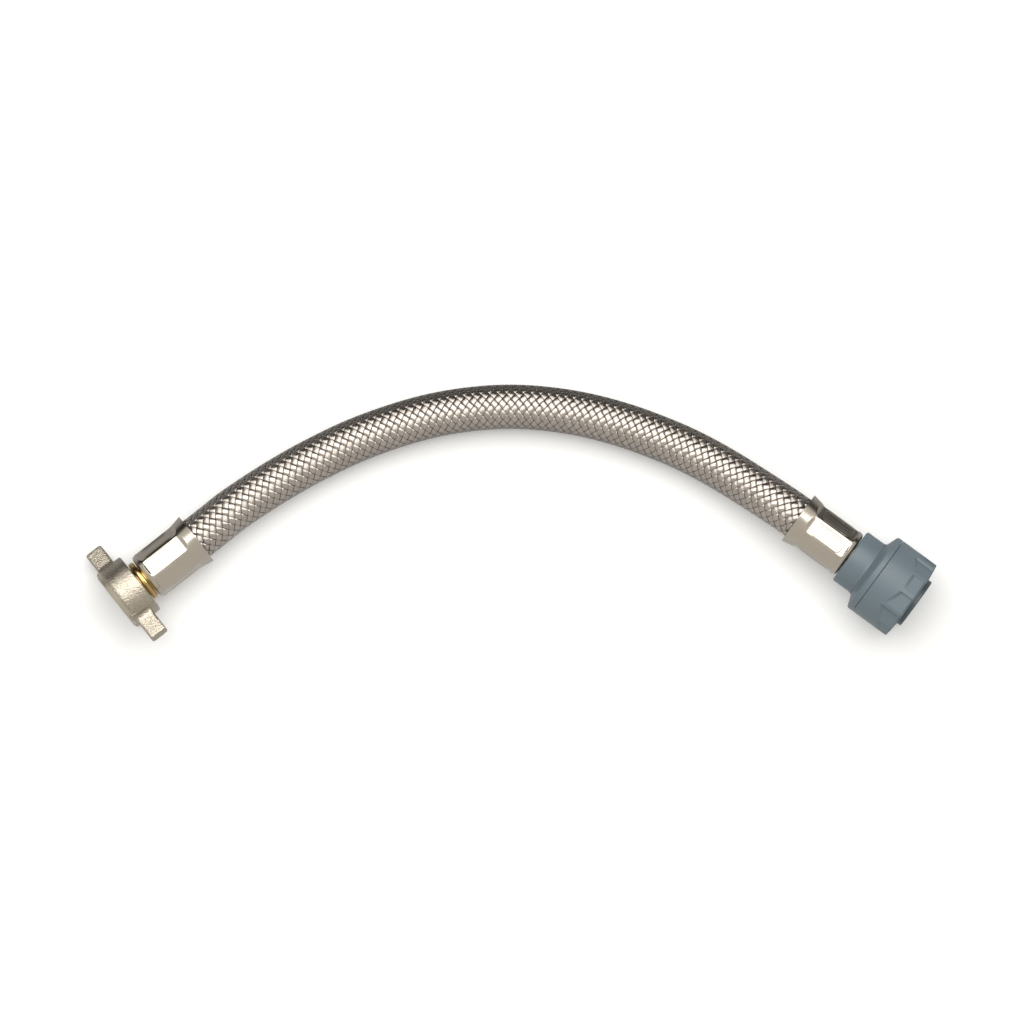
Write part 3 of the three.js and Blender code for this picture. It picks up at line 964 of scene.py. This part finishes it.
# ---------------------------------------------------------------- nut end
@dataclass
class NutEnd:
    """The brass stem, the wing nut that turns on it and the washer it carries, in millimetres."""

    axis: Axis
    columns: int = 192
    back: float = 22.9
    front: float = 32.9
    hub_radius: float = 10.7
    hole_radius: float = 5.7
    web: float = 2.0
    thread_minor: float = 7.475
    thread_major: float = 8.331
    thread_pitch: float = 1.337
    mouth_radius: float = 8.6
    wing_reach: float = 19.0
    wing_half_thickness: float = 2.0
    wing_taper: float = 0.05
    wing_middle_reach: float = 15.0
    wing_half_width: float = 3.0
    wing_middle: float = 28.4
    wing_fillet: float = 2.3
    wing_side_fillet: float = 1.2
    wing_root: float = 9.75
    wing_start: float = 9.2
    wing_edge: float = 0.75
    wing_turned: tuple[float, float] = (66.0, 246.0)
    squareness: float = 7.0

    def build(self) -> None:
        """Makes the stem, the nut and the washer."""
        self.stem()
        self.nut()
        self.washer()

    def stem(self) -> None:
        """Makes the stem: a barbed tail, a neck, a rounded collar, a spindle and a flange."""
        bore, root, barb = 3.0, 3.84, 4.24
        corners = [(bore, 0.8, 0.1), (root - 0.3, 0.8, 0.1)]
        for foot in (1.1, 6.7, 12.3):
            corners += [(root, foot, 0.1), (barb, foot + 3.92, 0.05), (root, foot + 4.12, 0.03)]
        corners += [
            (root, 19.2, 0.05),
            (6.2, 19.2, 0.05),
            (6.2, 19.7, 0.05),
            (4.9, 19.7, 0.05),
            (4.9, 20.8, 0.05),
            (7.0, 20.8, 0.75),
            (7.0, 22.6, 0.75),
            (5.4, 22.6, 0.1),
            (5.4, 25.7, 0.1),
            (7.15, 25.7, 0.15),
            (7.15, 26.9, 0.15),
            (bore, 26.9, 0.3),
        ]
        shell = self.axis.turned(outline(corners), even_angles(self.columns))
        add_piece("brass_nut_stem", [shell], TURNED_BRASS, Body.HOSE, Slot.BRASS, "nut_stem")

    def thread(self, radius: np.ndarray, along: np.ndarray, angle: np.ndarray) -> np.ndarray:
        """Cuts the thread: the bore's radius climbs and falls evenly once in each pitch of a helix.

        Args:
            radius: the distance from the axis.
            along: the distance along it.
            angle: round it.

        Returns:
            The radius with the thread in it.
        """
        turns = (along - self.back) / self.thread_pitch - angle / TURN
        saw = 1 - np.abs(2 * (turns % 1.0) - 1)
        depth = (self.thread_major - self.thread_minor) * np.clip(1.5 * saw - 0.25, 0, 1)
        start, end = self.back + self.web + 0.8, self.front - 0.9
        fade = smooth_step(along, start, start + 0.6) * (1 - smooth_step(along, end - 0.6, end))
        inside = np.abs(radius - self.thread_minor) < 0.02
        return radius + np.where(inside, depth * fade, 0.0)

    def wing(self, degrees: float) -> Shell:
        """Makes one wing.

        Its section is a rectangle with round corners, and grows to meet the hub in two fillets. Near
        its tip the section draws in along a quarter circle.

        Args:
            degrees: which way it points, from up.

        Returns:
            The skin.
        """
        fillet = self.wing_fillet
        near = np.linspace(self.wing_start, self.wing_root, 3)[:-1]
        curve = self.wing_root + fillet * (1 - np.cos(np.linspace(0, math.pi / 2, 14)))
        flat = np.linspace(curve[-1], self.wing_reach - self.wing_edge, 20)[1:]
        turn = np.linspace(0, math.pi / 2, 9)[1:]
        tip = self.wing_reach - self.wing_edge * (1 - np.sin(turn))
        out = np.concatenate([near, curve, flat, tip])
        gone = np.clip((out - self.wing_root) / fillet, 0, 1)
        grown = 1 - np.sqrt(np.clip(1 - (1 - gone) ** 2, 0, 1))
        draw = np.zeros_like(out)
        draw[-len(tip) :] = self.wing_edge * (1 - np.cos(turn))
        taper = self.wing_taper * (self.wing_middle_reach - out)
        half_thick = self.wing_half_thickness + taper + fillet * grown - draw
        half_wide = self.wing_half_width + self.wing_side_fillet * grown - draw
        t = even_angles(96)
        power = 2 / self.squareness
        x = np.sign(np.cos(t)) * np.abs(np.cos(t)) ** power
        y = np.sign(np.sin(t)) * np.abs(np.sin(t)) ** power
        sideways = half_thick[:, None] * x
        along = self.wing_middle + half_wide[:, None] * y
        rho = np.repeat(out[:, None], len(t), axis=1)
        angle = math.radians(degrees) + np.arctan2(sideways, rho)
        points = self.axis.place(np.hypot(rho, sideways), along, angle)
        mask = np.zeros_like(rho)
        return Shell(points, False, np.append(t, TURN) * 2, np.append(out, 20.0), {"mask": mask})

    def nut(self) -> None:
        """Makes the wing nut: a turned hub, with its thread, and two wings."""
        back, front, hub = self.back, self.front, self.hub_radius
        corners = [
            (self.hole_radius, back, 0.2),
            (hub, back, 0.7),
            (hub, front - 2.2, 0.6, 0.3),
            (hub - 0.45, front - 1.2, 0.3),
            (hub - 0.9, front, 0.25),
            (self.mouth_radius, front, 0.12),
            (self.thread_minor, front - 1.0, 0.15, 0.08),
            (self.thread_minor, back + self.web + 0.9, 0.1),
            (self.thread_major + 0.1, back + self.web + 0.6, 0.1),
            (self.thread_major + 0.1, back + self.web, 0.1),
            (self.hole_radius, back + self.web, 0.1),
        ]
        machined = front - 1.4

        def smooth(radius: np.ndarray, along: np.ndarray, angle: np.ndarray) -> np.ndarray:
            """Tells the turned faces, at the front and inside, from the stamped ones."""
            inside = radius < self.mouth_radius + 0.1
            return np.maximum(smooth_step(along, machined - 0.2, machined), inside)

        shell = self.axis.turned(outline(corners, 0.5), even_angles(self.columns), self.thread, smooth)
        shells = [shell, *(self.wing(degrees) for degrees in self.wing_turned)]
        add_piece("stamped_wing_nut", shells, PLATED_BRASS, Body.NUT, Slot.NICKEL, "wing_nut")

    def washer(self) -> None:
        """Makes the sealing washer."""
        corners = [(4.25, 27.2, 0.05), (7.1, 27.2, 0.05), (7.1, 28.7, 0.05), (4.25, 28.7, 0.05)]
        shell = self.axis.turned(outline(corners), even_angles(self.columns))
        add_piece(
            "fibre_washer", [shell], PUNCHED_FIBRE, Body.WASHER, Slot.FIBRE, "sealing_washer"
        )


# ---------------------------------------------------------------- push-fit end
@dataclass
class FittingEnd:
    """The plastic body, the screw cap and the pieces that it holds, in millimetres."""

    axis: Axis
    columns: int = 192
    pipe_bore: float = 7.65
    cap_radius: float = 13.9
    cap_start: float = 31.72
    cap_end: float = 45.0
    cap_face: float = 45.6
    grips: int = 12
    grip_columns: int = 26
    grip_lean: float = 9.0
    grip_radius: float = 13.15
    grip_short: float = 4.8
    grip_long: float = 7.5
    grip_ramp: float = 1.0

    def build(self) -> None:
        """Makes the body, the cap, the collet, the seal and the spacer."""
        self.body()
        self.cap()
        self.collet()
        self.seal()
        self.spacer()

    def body(self) -> None:
        """Makes the body: a neck, a cone to the rim, and the barrel inside the cap."""
        corners = [
            (4.75, 20.62, 0.1),
            (9.55, 20.62, 0.7),
            (9.55, 27.3, 0.6),
            (9.95, 28.2, 0.4),
            (13.55, 29.5, 0.3),
            (13.9, 29.95, 0.25),
            (13.9, 31.6, 0.2),
            (11.3, 31.6, 0.1),
            (11.3, 38.9, 0.15),
            (10.2, 38.9, 0.1),
            (10.2, 35.0, 0.1),
            (self.pipe_bore, 35.0, 0.2),
            (self.pipe_bore, 29.5, 0.1),
            (6.25, 29.5, 0.1),
            (6.25, 23.5, 0.1),
            (4.75, 23.5, 0.1),
        ]
        shell = self.axis.turned(outline(corners), even_angles(self.columns))
        add_piece("moulded_body", [shell], MOULDED_PLASTIC, Body.HOSE, Slot.PLASTIC, "fitting_body")

    def grip(self, radius: np.ndarray, along: np.ndarray, angle: np.ndarray) -> np.ndarray:
        """Cuts the finger grips: a ring of leaning flats on the outer half, like a ratchet's teeth.

        A flat lies one distance from the axis and leans to one side, so it meets the next in a step.
        Its inner end is nearer the rim on every third flat, and slants on the two between them.

        Args:
            radius: the distance from the axis.
            along: the distance along it.
            angle: round it.

        Returns:
            The radius with the grips in it.
        """
        cell = TURN / self.grips
        from_middle = angle % cell - cell / 2
        quarter = np.abs((angle - cell / 2 + TURN / 8) % (TURN / 4) - TURN / 8)
        slant = np.clip((quarter - cell / 2) / cell, 0, 1)
        reach = self.grip_short + (self.grip_long - self.grip_short) * slant
        edge = self.cap_end - reach
        gone = 1 - smooth_step(along - edge, 0.0, self.grip_ramp)
        flat = self.grip_radius / np.cos(from_middle - math.radians(self.grip_lean))
        flat = np.minimum(flat, self.cap_radius)
        room = flat + gone * (self.cap_radius - flat)
        outer = radius > self.cap_radius - 1.2
        return np.where(outer, radius - (self.cap_radius - room), radius)

    def cap(self) -> None:
        """Makes the screw cap."""
        corners = [
            (11.6, self.cap_start, 0.1),
            (self.cap_radius, self.cap_start, 0.2, 0.3),
            (self.cap_radius, self.cap_end, 0.4, 0.25),
            (12.9, self.cap_end + 0.15, 0.3, 0.5),
            (8.9, self.cap_face, 0.2),
            (8.9, 42.7, 0.1),
            (10.9, 42.7, 0.1),
            (10.9, 39.2, 0.1),
            (11.6, 39.2, 0.1),
        ]
        cell = TURN / self.grips
        support = np.array([0.004, 0.014])
        inner = np.linspace(0.05, 0.95, self.grip_columns - 4)
        shares = np.concatenate([support, inner, 1 - support[::-1]])
        angles = (np.arange(self.grips)[:, None] * cell + shares * cell).ravel()
        shell = self.axis.turned(outline(corners, 0.5), angles, self.grip)
        add_piece("moulded_screw_cap", [shell], MOULDED_PLASTIC, Body.CAP, Slot.PLASTIC, "screw_cap")

    def collet(self) -> None:
        """Makes the collet that lets the pipe go when it is pressed."""
        corners = [
            (self.pipe_bore, 41.2, 0.1),
            (10.2, 41.2, 0.1),
            (10.2, 42.4, 0.1),
            (8.6, 42.4, 0.1),
            (8.6, 47.0, 0.3),
            (self.pipe_bore, 47.0, 0.35),
        ]
        shell = self.axis.turned(outline(corners), even_angles(self.columns))
        # Its colour is the acetal darkened as painted shade.
        add_piece(
            "moulded_collet", [shell], COLLET_PLASTIC, Body.COLLET, Slot.COLLET, "release_collet"
        )

    def seal(self) -> None:
        """Makes the pipe's seal, a ring with a round section."""
        t = even_angles(32)
        line = np.stack([8.65 + 1.25 * np.cos(t), 36.55 + 1.25 * np.sin(t)], axis=1)
        shell = self.axis.turned(line, even_angles(self.columns))
        add_piece("rubber_pipe_seal", [shell], SEAL_RUBBER, Body.HOSE, Slot.SEAL, "pipe_seal")

    def spacer(self) -> None:
        """Makes the flat ring between the seal and the grab ring."""
        corners = [(7.8, 38.1, 0.05), (9.9, 38.1, 0.05), (9.9, 39.1, 0.05), (7.8, 39.1, 0.05)]
        shell = self.axis.turned(outline(corners), even_angles(self.columns))
        add_piece("flat_spacer", [shell], COLLET_PLASTIC, Body.HOSE, Slot.COLLET, "spacer_ring")


# The CAD nodes that are shown as they are.
KEPT_NODES = {
    "fitting_stem": (TURNED_BRASS, Slot.BRASS),
    "stem_seal": (SEAL_RUBBER, Slot.SEAL),
    "stem_clip": (SPRING_STEEL, Slot.SPRING),
    "grab_ring": (SPRING_STEEL, Slot.SPRING),
}


def dress_kept_nodes() -> None:
    """Gives the CAD nodes that are shown as they are their materials."""
    for name, (finish, slot) in KEPT_NODES.items():
        node = frame["nodes"][name]
        node.data.materials.clear()
        node.data.materials.append(finish.build())
        log.info("%s: kept, %s", name, finish.name)


# ---------------------------------------------------------------- camera, floor and light
@dataclass(frozen=True)
class Softbox:
    """A square light with soft edges, in metres and watts."""

    name: str
    place: tuple[float, float, float]
    side: tuple[float, float]
    power: float

    def build(self) -> None:
        """Makes the light, aimed at the middle of the floor."""
        data = bpy.data.lights.new(self.name, "AREA")
        data.shape = "RECTANGLE"
        data.size, data.size_y = self.side
        data.energy = self.power
        lamp = bpy.data.objects.new(self.name, data)
        bpy.context.scene.collection.objects.link(lamp)
        lamp.location = self.place
        lamp.rotation_mode = "QUATERNION"
        lamp.rotation_quaternion = (-Vector(self.place)).to_track_quat("-Z", "Y")


SOFTBOXES = (
    Softbox("softbox_top", (0.0, 0.5, 1.2), (1.8, 1.15), 18.0),
)


@dataclass(frozen=True)
class Stage:
    """The camera, the pale floor and the light, in metres."""

    camera_place: tuple[float, float, float] = (0.0003, 0.0181, 2.0)
    seen_width: float = 0.3303
    seen_height: float = 0.01
    sensor: float = 36.0
    floor_side: float = 6.0
    floor_colour: int = 0xF2F2F1
    world_colour: int = 0xC4C2BE
    world_strength: float = 1.1
    card_distance: float = 1.35
    card_size: tuple[float, float] = (7.0, 0.95)
    card_colour: int = 0x1A1815

    def camera(self) -> None:
        """Makes the camera, straight above the object, with a long lens."""
        data = bpy.data.cameras.new("camera")
        data.sensor_width = self.sensor
        data.lens = self.sensor * (self.camera_place[2] - self.seen_height) / self.seen_width
        data.clip_end = 20.0
        camera = bpy.data.objects.new("camera", data)
        bpy.context.scene.collection.objects.link(camera)
        camera.location = self.camera_place
        bpy.context.scene.camera = camera

    def sheet(self, name: str, corners: Sequence[tuple[float, ...]], finish: Finish) -> None:
        """Makes one flat sheet of the stage.

        Args:
            name: its name.
            corners: its four corners, in metres.
            finish: its material.
        """
        mesh = bpy.data.meshes.new(name)
        mesh.from_pydata(corners, [], [(0, 1, 2, 3)])
        made = bpy.data.objects.new(name, mesh)
        bpy.context.scene.collection.objects.link(made)
        mesh.materials.append(finish.build())
        made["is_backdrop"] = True

    def build(self) -> None:
        """Makes the floor, the dark card behind it and the light."""
        half, low = self.floor_side / 2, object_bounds()[0].z
        corners = [(-half, -half, low), (half, -half, low), (half, half, low), (-half, half, low)]
        self.sheet("floor", corners, PaperFloor("paper_matt_white", self.floor_colour, 0.0, 0.9, 2.0, 0.0))
        far, half, top = self.card_distance, self.card_size[0] / 2, self.card_size[1]
        corners = [(half, far, low), (-half, far, low), (-half, far, top), (half, far, top)]
        self.sheet("dark_card", corners, Finish("card_matt_black", self.card_colour, 0.0, 0.9, 2.0, 0.0))
        for softbox in SOFTBOXES:
            softbox.build()
        world = bpy.data.worlds.new("studio")
        world.use_nodes = True
        background = world.node_tree.nodes["Background"]
        background.inputs["Color"].default_value = linear(self.world_colour)
        background.inputs["Strength"].default_value = self.world_strength
        bpy.context.scene.world = world
        bpy.context.scene.view_settings.view_transform = "Standard"


def main() -> None:
    """Builds the camera, the hose, both its ends and the stage, in that order."""
    logging.basicConfig(level=logging.INFO, format="%(message)s")
    stage = Stage()
    stage.camera()
    nut_axis = Axis.of_joint("nut_spin", NUT_MOUTH)
    fitting_axis = Axis.of_joint("cap_turn", FITTING_MOUTH)
    in_ends = np.array([Hose.in_ferrule, Hose.in_ferrule / 2, 0.0])
    middle = np.zeros(3)
    points = np.concatenate(
        [
            nut_axis.place(middle, in_ends, middle),
            np.array(ROUTE),
            fitting_axis.place(middle, in_ends[::-1], middle),
        ]
    )
    Hose(Route(points)).build()
    Ferrule(nut_axis, "pressed_ferrule_nut_end", "ferrule_nut_end", 5.2, 10.0).build()
    Ferrule(fitting_axis, "pressed_ferrule_fitting_end", "ferrule_fitting_end", 4.75, 26.0).build()
    NutEnd(nut_axis).build()
    FittingEnd(fitting_axis).build()
    dress_kept_nodes()
    stage.build()


if __name__ == "__main__":
    main()
